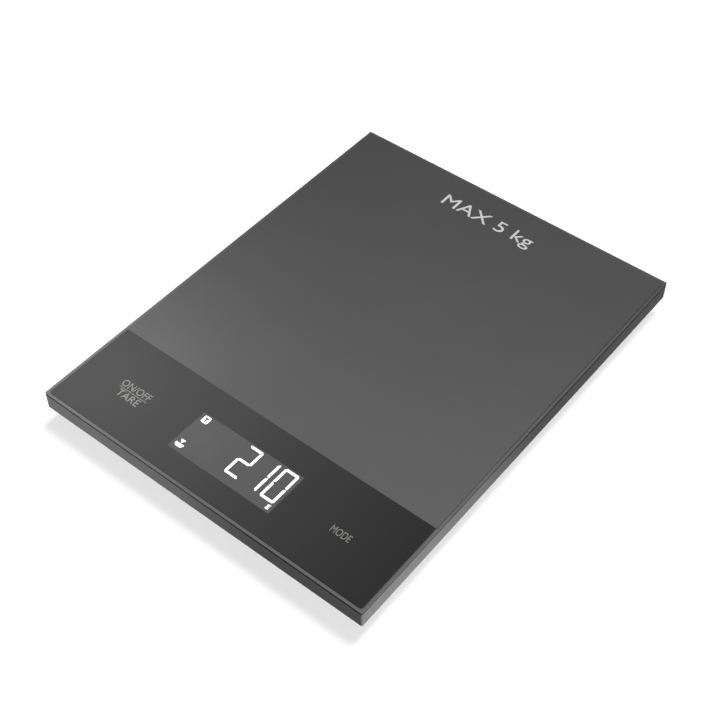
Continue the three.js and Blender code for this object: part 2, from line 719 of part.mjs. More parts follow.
const nearRow = BAY_Y - BATTERY_SPACING / 2;
const farRow = BAY_Y + BATTERY_SPACING / 2;
piece('battery_door', batteryDoor(), blackPlastic());
piece('battery_front', battery(-1, nearRow), steel());
piece('battery_back', battery(1, farRow), steel());
piece('battery_bridge_contact',
  contactPlate(1, BAY_Y, 20).add(contactSpring(1, nearRow)), steel());
piece('battery_spring_contact',
  contactPlate(-1, farRow, 8).add(contactSpring(-1, farRow)), steel());
piece('battery_button_contact', contactPlate(-1, nearRow, 8), steel());
piece('battery_lead_negative', batteryLead(farRow, 1, -8), tapeBlack());
piece('battery_lead_positive', batteryLead(nearRow, 0, -4), finish(0xa02020, 0.6));

piece('display_holder', displayHolder(), blackPlastic());
piece('display_panel', displayPanel(), displayGlass());
piece('display_backlight', backlight(), whitePlastic());
piece('connector_strip', connectorStrip(), finish(0xd98aa0, 0.8));
piece('touch_film', touchFilm(), filmAmber());
piece('main_board', mainBoard(), boardGreen());
piece('controller_chip', underBoard(11, 11, 1.6, 8, -3), blackPlastic());
piece('weighing_chip', underBoard(7, 5, 1.5, -8, -4), blackPlastic());
piece('reservoir_capacitor', underBoard(3.4, 2.8, 1.9, 20, -6), finish(0xc0a040, 0.5));
piece('sensor_socket_left', underBoard(13, 5, 3.2, -SOCKET_X, 9.2), whitePlastic());
piece('sensor_socket_right', underBoard(13, 5, 3.2, SOCKET_X, 9.2), whitePlastic());
for (const corner of CORNERS) {
  const x = DISPLAY_X + corner.x * BOARD_SCREW_X;
  const y = DISPLAY_Y + corner.y * BOARD_SCREW_Y;
  piece(`board_screw_${corner.name}`, boardScrew(x, y), steel());
}

export default scale;
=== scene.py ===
import json
import math

import bmesh
import bpy
import numpy as np
from mathutils import Matrix, Vector

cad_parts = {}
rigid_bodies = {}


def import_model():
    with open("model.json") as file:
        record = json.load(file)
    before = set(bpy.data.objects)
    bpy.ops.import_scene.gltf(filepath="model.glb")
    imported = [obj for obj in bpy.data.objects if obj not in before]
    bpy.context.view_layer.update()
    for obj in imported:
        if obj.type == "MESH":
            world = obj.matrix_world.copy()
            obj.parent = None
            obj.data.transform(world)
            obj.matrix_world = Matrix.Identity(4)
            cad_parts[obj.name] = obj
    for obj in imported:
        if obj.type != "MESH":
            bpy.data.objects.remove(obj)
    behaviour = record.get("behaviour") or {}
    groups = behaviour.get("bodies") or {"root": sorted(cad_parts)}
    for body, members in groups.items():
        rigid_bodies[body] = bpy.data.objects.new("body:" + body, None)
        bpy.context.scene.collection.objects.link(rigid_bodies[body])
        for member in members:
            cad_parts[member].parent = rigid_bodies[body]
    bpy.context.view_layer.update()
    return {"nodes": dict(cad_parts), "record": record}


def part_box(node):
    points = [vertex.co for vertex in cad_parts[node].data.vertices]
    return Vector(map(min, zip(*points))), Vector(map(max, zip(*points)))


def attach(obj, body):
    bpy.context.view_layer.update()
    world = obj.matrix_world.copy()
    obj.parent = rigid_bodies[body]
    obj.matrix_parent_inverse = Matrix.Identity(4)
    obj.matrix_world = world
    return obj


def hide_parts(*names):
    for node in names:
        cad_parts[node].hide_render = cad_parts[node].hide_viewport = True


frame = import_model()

MM = 0.001
BODY = "scale_body"
CORNER_NAMES = ("front_left", "front_right", "back_left", "back_right")
SCREW_NAMES = [
    f"base_screw_{row}_{side}" for row in ("front", "middle", "back") for side in ("left", "right")]

GLASS_LOW, GLASS_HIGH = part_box("glass_platform")
TRAY_LOW, TRAY_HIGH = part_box("platform_tray")
DISPLAY_LOW, DISPLAY_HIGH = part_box("display_panel")
BASE_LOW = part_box("base_housing")[0]

TOP_Z = GLASS_HIGH.z
DISPLAY_CENTRE = (DISPLAY_LOW + DISPLAY_HIGH) / 2

# Layout of the printed face, in metres, from the display's centre and the glass's edges.
STRIP_DEPTH = 48.5 * MM                     # from the glass's front edge to the platform print
DIVIDER_Y = GLASS_LOW.y + STRIP_DEPTH
WINDOW_HALF = Vector((28.6 * MM, 11.6 * MM))
WINDOW_LOW = DISPLAY_CENTRE.xy - WINDOW_HALF
WINDOW_HIGH = DISPLAY_CENTRE.xy + WINDOW_HALF
PRINT_THICKNESS = 0.02 * MM


# ---- Camera and light ------------------------------------------------------------------------

CAMERA_AZIMUTH = 38.753                     # degrees, to the right of straight in front
CAMERA_ELEVATION = 48.457                   # degrees above the floor
CAMERA_LENS = 68.965                        # millimetres, on a sensor 36 mm wide
CAMERA_DISTANCE = 3.51525                   # this and the next two are in widths of the object
CAMERA_SIDE = 0.01791                       # how far left of the top's middle the sight line is
CAMERA_DROP = 0.06248                       # how far below the top's middle it is


def direction(azimuth, elevation):
    """The unit vector from the object towards a place, azimuth 0 in front and 90 to its right."""
    a, e = math.radians(azimuth), math.radians(elevation)
    return Vector((math.sin(a) * math.cos(e), -math.cos(a) * math.cos(e), math.sin(e)))


def add_camera():
    """The main camera. Its line of sight passes a little left of and below the top's middle."""
    width = TRAY_HIGH.x - TRAY_LOW.x
    back = direction(CAMERA_AZIMUTH, CAMERA_ELEVATION)
    right = Vector((0, 0, 1)).cross(back).normalized()
    up = back.cross(right)
    offset = CAMERA_DISTANCE * back - CAMERA_SIDE * right - CAMERA_DROP * up
    camera = bpy.data.cameras.new("camera")
    camera.lens = CAMERA_LENS
    camera.sensor_width = 36
    camera.clip_start = 0.01
    camera.clip_end = 20
    holder = bpy.data.objects.new("camera", camera)
    rotation = Matrix((right, up, back)).transposed().to_4x4()
    holder.matrix_world = Matrix.Translation(Vector((0, 0, TOP_Z)) + width * offset) @ rotation
    bpy.context.scene.collection.objects.link(holder)
    bpy.context.scene.camera = holder


def add_area(name, position, target, size, power, only):
    """A square lamp that lights one collection and shows in no reflection."""
    lamp = bpy.data.lights.new(name, "AREA")
    lamp.shape = "RECTANGLE"
    lamp.size = lamp.size_y = size
    lamp.energy = power
    holder = bpy.data.objects.new(name, lamp)
    aim = Vector(target) - Vector(position)
    holder.location = position
    holder.rotation_euler = aim.to_track_quat("-Z", "Y").to_euler()
    holder.visible_camera = False
    holder.visible_glossy = False
    bpy.context.scene.collection.objects.link(holder)
    holder.light_linking.receiver_collection = only


def add_spot(name, position, target, half_angle, blend, power, only):
    """A lamp that lights one collection. Its beam fades out towards half_angle, in degrees."""
    lamp = bpy.data.lights.new(name, "SPOT")
    lamp.spot_size = math.radians(2 * half_angle)
    lamp.spot_blend = blend
    lamp.shadow_soft_size = 0.01
    lamp.energy = power
    holder = bpy.data.objects.new(name, lamp)
    aim = Vector(target) - Vector(position)
    holder.location = position
    holder.rotation_euler = aim.to_track_quat("-Z", "Y").to_euler()
    holder.visible_camera = False
    holder.visible_glossy = False
    bpy.context.scene.collection.objects.link(holder)
    holder.light_linking.receiver_collection = only


def add_sun(name, strength, spread, lean=0.0):
    """A distant lamp. It leans by some degrees from the vertical towards the back of the object."""
    lamp = bpy.data.lights.new(name, "SUN")
    lamp.energy = strength
    lamp.angle = math.radians(spread)
    holder = bpy.data.objects.new(name, lamp)
    holder.rotation_euler = (math.radians(-lean), 0, 0)
    bpy.context.scene.collection.objects.link(holder)
    return holder


def add_wash(floor, strength):
    """Even light on the floor alone, which the object doesn't shade, so that its shadow stays flat."""
    holder = add_sun("floor_wash", strength, 60)
    holder.data.cycles.use_multiple_importance_sampling = False
    only_floor = bpy.data.collections.new("floor_only")
    only_floor.objects.link(floor)
    holder.light_linking.receiver_collection = only_floor
    holder.light_linking.blocker_collection = only_floor


def add_world(strength):
    """A dim white surround, which is bright only where it is seen directly as the backdrop."""
    world = bpy.data.worlds.new("studio")
    world.use_nodes = True
    tree = world.node_tree
    background = tree.nodes["Background"]
    background.inputs["Color"].default_value = (1, 1, 1, 1)
    path = tree.nodes.new("ShaderNodeLightPath")
    level = tree.nodes.new("ShaderNodeMapRange")
    level.inputs["To Min"].default_value = strength
    level.inputs["To Max"].default_value = 1.0
    tree.links.new(path.outputs["Is Camera Ray"], level.inputs["Value"])
    tree.links.new(level.outputs["Result"], background.inputs["Strength"])
    bpy.context.scene.world = world


FLOOR_REACH = 3.0                           # metres, from the object to the floor's edge
FLOOR_CELLS = 6
FLOOR_COLOUR = (0.86, 0.86, 0.86, 1)


def add_floor():
    """A pale matte floor, wide enough to fill every view."""
    bm = bmesh.new()
    bmesh.ops.create_grid(bm, x_segments=FLOOR_CELLS, y_segments=FLOOR_CELLS, size=FLOOR_REACH)
    mesh = bpy.data.meshes.new("floor")
    bm.to_mesh(mesh)
    bm.free()
    floor = bpy.data.objects.new("floor", mesh)
    bpy.context.scene.collection.objects.link(floor)
    paint = bpy.data.materials.new("floor_paint")
    paint.use_nodes = True
    shader = paint.node_tree.nodes["Principled BSDF"]
    shader.inputs["Base Color"].default_value = FLOOR_COLOUR
    shader.inputs["Roughness"].default_value = 0.9
    shader.inputs["Specular IOR Level"].default_value = 0.0
    mesh.materials.append(paint)
    return floor


# ---- Materials -------------------------------------------------------------------------------

def linear(level):
    """The linear value of a display grey level from 0 to 255."""
    c = level / 255
    return c / 12.92 if c <= 0.04045 else ((c + 0.055) / 1.055) ** 2.4


def new_material(name):
    paint = bpy.data.materials.new(name)
    paint.use_nodes = True
    return paint, paint.node_tree, paint.node_tree.nodes["Principled BSDF"]


def noise(tree, coordinates, scale, detail=2.0, roughness=0.5):
    node = tree.nodes.new("ShaderNodeTexNoise")
    node.inputs["Scale"].default_value = scale
    node.inputs["Detail"].default_value = detail
    node.inputs["Roughness"].default_value = roughness
    tree.links.new(coordinates, node.inputs["Vector"])
    return node.outputs["Fac"]


def mix_colours(tree, factor, low, high):
    node = tree.nodes.new("ShaderNodeMix")
    node.data_type = "RGBA"
    for socket, value in ((node.inputs[6], low), (node.inputs[7], high)):
        if isinstance(value, bpy.types.NodeSocket):
            tree.links.new(value, socket)
        else:
            socket.default_value = (*value, 1)
    tree.links.new(factor, node.inputs[0])
    return node.outputs[2]


def remap(tree, value, low, high, to_low, to_high):
    node = tree.nodes.new("ShaderNodeMapRange")
    for name, number in (("From Min", low), ("From Max", high), ("To Min", to_low), ("To Max", to_high)):
        node.inputs[name].default_value = number
    tree.links.new(value, node.inputs["Value"])
    return node.outputs["Result"]


def spread_noise(tree, value, to_low, to_high):
    """Noise lies mostly between 0.3 and 0.7. That range is stretched from to_low to to_high."""
    return remap(tree, value, 0.3, 0.7, to_low, to_high)


def object_coordinates(tree):
    return tree.nodes.new("ShaderNodeTexCoord").outputs["Object"]


def bump(tree, shader, height, distance, strength=1.0):
    node = tree.nodes.new("ShaderNodeBump")
    node.inputs["Distance"].default_value = distance
    node.inputs["Strength"].default_value = strength
    tree.links.new(height, node.inputs["Height"])
    tree.links.new(node.outputs["Normal"], shader.inputs["Normal"])


def surface(name, tone, spread=0.06, cloud=60, grain=2500, roughness=0.5, roughness_spread=0.06,
            relief=0.01 * MM, metallic=0.0, specular=0.5):
    """A material with a soft cloud of tone, a fine grain in its gloss and a fine relief.
    cloud and grain are noise scales per metre. tone is a linear colour."""
    paint, tree, shader = new_material(name)
    where = object_coordinates(tree)
    low = [c * (1 - spread) for c in tone]
    high = [min(1.0, c * (1 + spread)) for c in tone]
    cloudy = noise(tree, where, cloud, detail=4)
    fine = noise(tree, where, grain, detail=3, roughness=0.6)
    colour = mix_colours(tree, spread_noise(tree, cloudy, 0, 1), low, high)
    tree.links.new(colour, shader.inputs["Base Color"])
    gloss = spread_noise(tree, fine, roughness - roughness_spread, roughness + roughness_spread)
    tree.links.new(gloss, shader.inputs["Roughness"])
    shader.inputs["Metallic"].default_value = metallic
    shader.inputs["Specular IOR Level"].default_value = specular
    bump(tree, shader, fine, relief)
    return paint


def grey(level):
    return (linear(level),) * 3


PLATFORM_TONE = 0.080
FRAME_TONE = 0.084
# The rim's top is the frame's plastic painted lighter: a painted highlight where the rim catches the light.
RIM_PAINTED_HIGHLIGHT_TONE = 0.099
# The strip's two tones are a painted fade: the fall-off of a reflection, painted from dark grey to near
# black at the right.
STRIP_PAINTED_FADE_TONES = (0.0460, 0.0145)              # left of the fade and at the strip's right end
PAINTED_FADE_START_X = -10 * MM
WINDOW_TONE = 0.077


def platform_print():
    return surface("platform_print", (PLATFORM_TONE,) * 3, spread=0.03, cloud=25, grain=1800, roughness=0.34,
                   roughness_spread=0.03, relief=0.002 * MM, specular=0.2)


def strip_print():
    """The control strip's dark ink. Its fade from dark grey in the middle to near black at the right is a
    painted reflection fall-off.
    """
    paint, tree, shader = new_material("strip_print")
    where = object_coordinates(tree)
    split = tree.nodes.new("ShaderNodeSeparateXYZ")
    tree.links.new(where, split.inputs["Vector"])
    along = remap(tree, split.outputs["X"], PAINTED_FADE_START_X, GLASS_HIGH.x, 0, 1)
    # Painted reflection fall-off: the ink darkens towards the strip's right end.
    painted_fade = mix_colours(tree, along, (STRIP_PAINTED_FADE_TONES[0],) * 3, (STRIP_PAINTED_FADE_TONES[1],) * 3)
    mottle = spread_noise(tree, noise(tree, where, 30, detail=3), 0, 0.06)
    colour = mix_colours(tree, mottle, painted_fade, (0.03, 0.03, 0.03))
    tree.links.new(colour, shader.inputs["Base Color"])
    fine = noise(tree, where, 1800, detail=3)
    tree.links.new(spread_noise(tree, fine, 0.3, 0.36), shader.inputs["Roughness"])
    shader.inputs["Specular IOR Level"].default_value = 0.1
    bump(tree, shader, fine, 0.002 * MM)
    return paint


def lit_segment():
    """White display light with a faint unevenness from its backlight."""
    paint, tree, shader = new_material("display_light")
    where = object_coordinates(tree)
    glow = mix_colours(tree, noise(tree, where, 220), (0.86, 0.92, 0.96), (0.96, 0.98, 1.0))
    tree.links.new(glow, shader.inputs["Emission Color"])
    tree.links.new(glow, shader.inputs["Base Color"])
    shader.inputs["Emission Strength"].default_value = 0.9
    shader.inputs["Roughness"].default_value = 0.4
    return paint


def circuit_board():
    """Green solder mask with copper tracks showing through and a fibre weave below."""
    paint, tree, shader = new_material("board_laminate")
    where = object_coordinates(tree)
    tracks = tree.nodes.new("ShaderNodeTexBrick")
    tracks.inputs["Scale"].default_value = 260
    tracks.inputs["Color1"].default_value = (0.006, 0.075, 0.03, 1)
    tracks.inputs["Color2"].default_value = (0.008, 0.09, 0.036, 1)
    tracks.inputs["Mortar"].default_value = (0.02, 0.16, 0.07, 1)
    tracks.inputs["Mortar Size"].default_value = 0.06
    tree.links.new(where, tracks.inputs["Vector"])
    weave = noise(tree, where, 1600)
    mask = spread_noise(tree, weave, 0, 0.2)
    colour = mix_colours(tree, mask, tracks.outputs["Color"], (0.01, 0.12, 0.05))
    tree.links.new(colour, shader.inputs["Base Color"])
    tree.links.new(spread_noise(tree, weave, 0.3, 0.45), shader.inputs["Roughness"])
    bump(tree, shader, tracks.outputs["Fac"], 0.03 * MM)
    return paint


def stamped_steel(name, tone, roughness):
    """Rolled sheet: fine streaks along X in tone and gloss."""
    paint, tree, shader = new_material(name)
    where = object_coordinates(tree)
    stretch = tree.nodes.new("ShaderNodeMapping")
    stretch.inputs["Scale"].default_value = (120, 4200, 4200)
    tree.links.new(where, stretch.inputs["Vector"])
    streak = noise(tree, stretch.outputs["Vector"], 1.0, detail=4, roughness=0.65)
    low = [c * 0.86 for c in tone]
    colour = mix_colours(tree, spread_noise(tree, streak, 0, 1), low, tone)
    tree.links.new(colour, shader.inputs["Base Color"])
    gloss = spread_noise(tree, streak, roughness - 0.07, roughness + 0.07)
    tree.links.new(gloss, shader.inputs["Roughness"])
    shader.inputs["Metallic"].default_value = 1.0
    bump(tree, shader, streak, 0.003 * MM)
    return paint


def banded_rubber():
    """The connector strip: conductive black bands across pink insulating rubber."""
    paint, tree, shader = new_material("strip_rubber")
    where = object_coordinates(tree)
    wave = tree.nodes.new("ShaderNodeTexWave")
    wave.wave_type = "BANDS"
    wave.bands_direction = "X"
    wave.inputs["Scale"].default_value = 320
    tree.links.new(where, wave.inputs["Vector"])
    colour = mix_colours(tree, wave.outputs["Fac"], (0.02, 0.02, 0.02), (0.62, 0.28, 0.34))
    tree.links.new(colour, shader.inputs["Base Color"])
    fine = noise(tree, where, 2600)
    tree.links.new(spread_noise(tree, fine, 0.65, 0.8), shader.inputs["Roughness"])
    bump(tree, shader, fine, 0.01 * MM)
    return paint


def platform_materials():
    """The glass's printed fields, the display's light and the casing's plastics."""
    return {
        "platform_glass": platform_print(),
        "strip_print": strip_print(),
        "window_tint": surface("window_tint", (WINDOW_TONE,) * 3, spread=0.03, cloud=90, grain=1500,
                               roughness=0.3, roughness_spread=0.03, relief=0.002 * MM, specular=0.15),
        "display_light": lit_segment(),
        "key_print": surface("key_print", (0.185, 0.183, 0.177), spread=0.05, cloud=300,
                             roughness=0.5, specular=0.2),
        "scale_print": surface("scale_print", grey(214), spread=0.03, cloud=300, roughness=0.45),
        # seam_shadow paints the groove below the rim dark: painted shade inside the recess.
        "seam_shadow": surface("seam_shadow", grey(52), spread=0.05, cloud=120, roughness=0.7, specular=0.2),
        "glass_edge": surface("glass_edge", grey(60), spread=0.05, cloud=120,
                              roughness=0.2, relief=0.001 * MM),
        "frame_plastic": surface("frame_plastic", (FRAME_TONE,) * 3, spread=0.04, cloud=80, grain=3200,
                                 roughness=0.58, relief=0.012 * MM, specular=0.04),
        # The rim's top: the frame's plastic painted lighter, as a painted highlight.
        "rim_plastic_painted_highlight": surface("rim_plastic_painted_highlight", (RIM_PAINTED_HIGHLIGHT_TONE,) * 3, spread=0.04, cloud=80, grain=3200,
                               roughness=0.5, relief=0.008 * MM, specular=0.1),
        "base_plastic": surface("base_plastic", grey(62), spread=0.06, cloud=70, grain=2800, roughness=0.62,
                                relief=0.02 * MM, specular=0.4),
        "foot_plastic": surface("foot_plastic", grey(44), spread=0.08, cloud=200, roughness=0.5),
        "foot_rubber": surface("foot_rubber", grey(58), spread=0.12, cloud=320, grain=2200, roughness=0.85,
                               relief=0.03 * MM, specular=0.3),
    }


def underside_materials():
    """The pieces below the glass and under the base."""
    return {
        "foam_tape": surface("foam_tape", grey(34), spread=0.2, cloud=500, grain=1800, roughness=0.95,
                             relief=0.06 * MM, specular=0.1),
        "label_film": surface("label_film", grey(196), spread=0.04, cloud=150, grain=3000, roughness=0.42,
                              relief=0.004 * MM, metallic=0.25),
        "screw_steel": surface("screw_steel", (0.52, 0.53, 0.55), spread=0.08, cloud=600, grain=5000,
                               roughness=0.32, metallic=1.0, relief=0.004 * MM),
        "cell_steel": stamped_steel("cell_steel", (0.58, 0.59, 0.61), 0.34),
        "contact_steel": stamped_steel("contact_steel", (0.68, 0.67, 0.63), 0.22),
    }


def electric_materials():
    """The leads, the cells, the boards and what sits on them."""
    return {
        "holder_plastic": surface("holder_plastic", grey(226), spread=0.03, cloud=200, roughness=0.45),
        "lead_sleeve": surface("lead_sleeve", grey(214), spread=0.05, cloud=400, roughness=0.6),
        "lead_black": surface("lead_black", grey(30), spread=0.15, cloud=400, roughness=0.55),
        "lead_red": surface("lead_red", (0.38, 0.012, 0.01), spread=0.1, cloud=400, roughness=0.55),
        "battery_jacket": surface("battery_jacket", (0.08, 0.1, 0.12), spread=0.06, cloud=90, grain=3000,
                                  roughness=0.3, roughness_spread=0.03, metallic=0.4, relief=0.001 * MM),
        "display_glass": surface("display_glass", grey(40), spread=0.08, cloud=160, roughness=0.12,
                                 roughness_spread=0.03, relief=0.001 * MM),
        "strip_rubber": banded_rubber(),
        "film_amber": surface("film_amber", (0.42, 0.16, 0.02), spread=0.15, cloud=220, roughness=0.3),
        "board_laminate": circuit_board(),
        "chip_plastic": surface("chip_plastic", grey(36), spread=0.1, cloud=900, roughness=0.6),
        "capacitor_body": surface("capacitor_body", (0.5, 0.31, 0.03), spread=0.08, cloud=700,
                                  roughness=0.45),
    }


def make_materials():
    """Every material by the record's slot name, plus the glass's printed fields."""
    return {**platform_materials(), **underside_materials(), **electric_materials()}


# ---- Mesh helpers ----------------------------------------------------------------------------

def finish_piece(mesh, name, materials, body=BODY, replaces=()):
    """Makes an object of a finished mesh, gives it its materials and ties it to its body."""
    mesh.name = name
    for paint in materials:
        mesh.materials.append(paint)
    piece = bpy.data.objects.new(name, mesh)
    bpy.context.scene.collection.objects.link(piece)
    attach(piece, body)
    if replaces:
        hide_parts(*replaces)
    return piece


def mesh_of(bm, smooth=True):
    mesh = bpy.data.meshes.new("piece")
    bm.normal_update()
    bm.to_mesh(mesh)
    bm.free()
    if smooth:
        mesh.polygons.foreach_set("use_smooth", [True] * len(mesh.polygons))
    return mesh


def rounded_outline(half_x, half_y, corner, segments=8):
    """Points of a rectangle with round corners, counter-clockwise."""
    points = []
    for quarter, (sx, sy) in enumerate(((1, 1), (-1, 1), (-1, -1), (1, -1))):
        for i in range(segments + 1):
            angle = math.pi / 2 * (quarter + i / segments)
            points.append(Vector((
                sx * (half_x - corner) + corner * math.cos(angle),
                sy * (half_y - corner) + corner * math.sin(angle))))
    return points


def loop_faces(bm, lower, upper):
    count = len(lower)
    for i in range(count):
        j = (i + 1) % count
        bm.faces.new((lower[i], lower[j], upper[j], upper[i]))


def edge_profile(radius, bottom, top, segments=4):
    """(inset, height) pairs up a wall whose lower and upper edges are rounded."""
    steps = [math.pi / 2 * i / segments for i in range(segments + 1)]
    low = [(radius * (1 - math.sin(a)), bottom + radius * (1 - math.cos(a))) for a in steps]
    high = [(radius * (1 - math.cos(a)), top - radius * (1 - math.sin(a))) for a in steps]
    return low + high


def bevelled_copy(node, name, materials, width, body=BODY, segments=3, angle=28, paint_face=None):
    """A CAD node's shape with its coplanar triangles joined and its sharp edges rounded.
    paint_face gives the material's number for a face of the bmesh."""
    bm = bmesh.new()
    bm.from_mesh(frame["nodes"][node].data)
    bmesh.ops.remove_doubles(bm, verts=bm.verts, dist=1e-6)
    bmesh.ops.dissolve_limit(bm, angle_limit=math.radians(0.5), verts=bm.verts, edges=bm.edges)
    if paint_face is not None:
        bm.normal_update()
        for face in bm.faces:
            face.material_index = paint_face(face)
    mesh = mesh_of(bm)
    piece = finish_piece(mesh, name, materials, body, (node,))
    rounding = piece.modifiers.new("rounded_edges", "BEVEL")
    rounding.width = width
    rounding.segments = segments
    rounding.limit_method = "ANGLE"
    rounding.angle_limit = math.radians(angle)
    rounding.use_clamp_overlap = True
    flats = piece.modifiers.new("flat_faces", "WEIGHTED_NORMAL")
    flats.mode = "FACE_AREA"
    flats.weight = 100
    return piece


def turned_piece(profile, centre, name, materials, body, replaces, segments=56):
    """A smooth turned piece round a vertical axis. The profile is (radius, height) from axis to axis."""
    bm = bmesh.new()
    rings = []
    for radius, height in profile:
        if radius < 1e-9:
            rings.append([bm.verts.new((centre.x, centre.y, height))])
            continue
        angles = (2 * math.pi * i / segments for i in range(segments))
        rings.append([
            bm.verts.new((centre.x + radius * math.cos(a), centre.y + radius * math.sin(a), height))
            for a in angles])
    for lower, upper in zip(rings, rings[1:]):
        for i in range(segments):
            j = (i + 1) % segments
            corners = [ring[k % len(ring)] for ring, k in ((lower, i), (lower, j), (upper, j), (upper, i))]
            unique = list(dict.fromkeys(corners))
            if len(unique) > 2:
                bm.faces.new(unique)
    bmesh.ops.recalc_face_normals(bm, faces=bm.faces)
    mesh = mesh_of(bm)
    piece = finish_piece(mesh, name, materials, body, replaces)
    sharp = piece.modifiers.new("crisp_corners", "EDGE_SPLIT")
    sharp.split_angle = math.radians(50)
    return piece


def rounded_corner(before, corner, after, radius, segments=3):
    """Points that round one corner of a profile with an arc-like curve."""
    a, b, c = Vector(before), Vector(corner), Vector(after)
    start = b + (a - b).normalized() * radius
    end = b + (c - b).normalized() * radius
    points = []
    for i in range(segments + 1):
        t = i / segments
        points.append(tuple((1 - t) ** 2 * start + 2 * t * (1 - t) * b + t ** 2 * end))
    return points


def rounded_profile(points, radius):
    """A profile with every inner corner rounded by at most radius."""
    result = [points[0]]
    for before, corner, after in zip(points, points[1:], points[2:]):
        room = 0.45 * min((Vector(corner) - Vector(before)).length, (Vector(after) - Vector(corner)).length)
        result += rounded_corner(before, corner, after, min(radius, room))
    return result + [points[-1]]


# ---- Glass and its print ---------------------------------------------------------------------

GLASS_CORNER = 1.2 * MM
GLASS_EDGE_RADIUS = 0.25 * MM
GLASS_GROWTH = 0.24 * MM                    # the glass fills the fitting gap round it


def cut_along(bm, point, normal):
    geometry = list(bm.verts) + list(bm.edges) + list(bm.faces)
    bmesh.ops.bisect_plane(bm, geom=geometry, plane_co=point, plane_no=normal, dist=1e-7)


def glass_paint(face):
    """0 for the platform's print, 1 for the strip's, 2 for the window and 3 for the ground edge."""
    middle = face.calc_center_median()
    if face.normal.z <= 0.6 or middle.z <= GLASS_HIGH.z - 0.2 * MM:
        return 3
    if middle.y > DIVIDER_Y:
        return 0
    inside_x = WINDOW_LOW.x < middle.x < WINDOW_HIGH.x
    inside_y = WINDOW_LOW.y < middle.y < WINDOW_HIGH.y
    return 2 if inside_x and inside_y else 1


def build_glass(paints):
    """The platform glass with ground edges. Its printed fields are cut into the top face."""
    half = (GLASS_HIGH - GLASS_LOW) / 2 + Vector((GLASS_GROWTH, GLASS_GROWTH, 0))
    centre = (GLASS_HIGH + GLASS_LOW) / 2
    bm = bmesh.new()
    rings = []
    for inset, height in edge_profile(GLASS_EDGE_RADIUS, GLASS_LOW.z, GLASS_HIGH.z):
        corner = max(GLASS_CORNER - inset, 0.2 * MM)
        outline = rounded_outline(half.x - inset, half.y - inset, corner)
        rings.append([bm.verts.new((centre.x + p.x, centre.y + p.y, height)) for p in outline])
    for lower, upper in zip(rings, rings[1:]):
        loop_faces(bm, lower, upper)
    bm.faces.new(reversed(rings[0]))
    bm.faces.new(rings[-1])
    cut_along(bm, (0, DIVIDER_Y, 0), (0, 1, 0))
    for x in (WINDOW_LOW.x, WINDOW_HIGH.x):
        cut_along(bm, (x, 0, 0), (1, 0, 0))
    for y in (WINDOW_LOW.y, WINDOW_HIGH.y):
        cut_along(bm, (0, y, 0), (0, 1, 0))
    bmesh.ops.recalc_face_normals(bm, faces=bm.faces)
    for face in bm.faces:
        face.material_index = glass_paint(face)
        face.smooth = not (face.normal.z > 0.999)
    mesh = bpy.data.meshes.new("piece")
    bm.to_mesh(mesh)
    bm.free()
    materials = [paints[n] for n in ("platform_glass", "strip_print", "window_tint", "glass_edge")]
    return finish_piece(mesh, "glass_plate", materials, BODY, ("glass_platform",))


def flat_print(name, loops, paint, height=PRINT_THICKNESS):
    """A thin printed shape on the glass. loops are closed outlines in metres, and inner ones are holes."""
    curve = bpy.data.curves.new(name, "CURVE")
    curve.dimensions = "2D"
    curve.fill_mode = "BOTH"
    curve.extrude = height / 2
    for loop in loops:
        spline = curve.splines.new("POLY")
        spline.points.add(len(loop) - 1)
        for point, (x, y) in zip(spline.points, loop):
            point.co = (x, y, 0, 1)
        spline.use_cyclic_u = True
    return stamp(curve, name, (0, 0), paint, height)


def stamp(curve, name, place, paint, height=PRINT_THICKNESS):
    """Turns a curve or text into a mesh that lies on the glass at place."""
    holder = bpy.data.objects.new(name + "_outline", curve)
    bpy.context.scene.collection.objects.link(holder)
    bpy.context.view_layer.update()
    evaluated = holder.evaluated_get(bpy.context.evaluated_depsgraph_get())
    mesh = bpy.data.meshes.new_from_object(evaluated)
    bpy.data.objects.remove(holder)
    bpy.data.curves.remove(curve)
    mesh.transform(Matrix.Translation((place[0], place[1], TOP_Z + height / 2)))
    bm = bmesh.new()
    bm.from_mesh(mesh)
    bmesh.ops.remove_doubles(bm, verts=bm.verts, dist=1e-7)
    bmesh.ops.recalc_face_normals(bm, faces=bm.faces)
    bm.to_mesh(mesh)
    bm.free()
    mesh.materials.clear()
    return finish_piece(mesh, name, [paint])


def caption(name, words, low, high, paint):
    """Plain lettering that fills a box on the glass."""
    text = bpy.data.curves.new(name, "FONT")
    text.body = words
    text.size = high.y - low.y
    text.extrude = PRINT_THICKNESS / 2
    text.resolution_u = 6
    piece = stamp(text, name, (0, 0), paint)
    corners = [v.co for v in piece.data.vertices]
    left, right = min(c.x for c in corners), max(c.x for c in corners)
    bottom, top = min(c.y for c in corners), max(c.y for c in corners)
    for c in corners:
        c.x = low.x + (c.x - left) * (high.x - low.x) / (right - left)
        c.y = low.y + (c.y - bottom) * (high.y - low.y) / (top - bottom)
    piece.data.update()
    return piece


def shrink(polygon, distance):
    """A convex outline, counter-clockwise, with every side moved inwards by distance."""
    count = len(polygon)
    lines = []
    for i in range(count):
        a, b = Vector(polygon[i]), Vector(polygon[(i + 1) % count])
        along = (b - a).normalized()
        inward = Vector((-along.y, along.x))
        lines.append((a + inward * distance, along))
    result = []
    for i in range(count):
        (p, d), (q, e) = lines[i - 1], lines[i]
        cross = d.x * e.y - d.y * e.x
        t = ((q - p).x * e.y - (q - p).y * e.x) / cross
        result.append(tuple(p + d * t))
    return result


# ---- Display contents ------------------------------------------------------------------------

DIGIT_WIDTH = 7.7 * MM
DIGIT_HEIGHT = 17.7 * MM
DIGIT_STROKE = 1.3 * MM
DIGIT_PITCH = 9.95 * MM
DIGIT_CHAMFER = 0.75 * MM
DIGIT_GAP = 0.06 * MM
DIGIT_TOP = 10.85 * MM                      # above the display's centre
LAST_DIGIT_X = 19.25 * MM                   # the last digit's left side, from the display's centre
SEGMENTS_OF = {"0": "abcdef", "1": "bc", "2": "abged"}

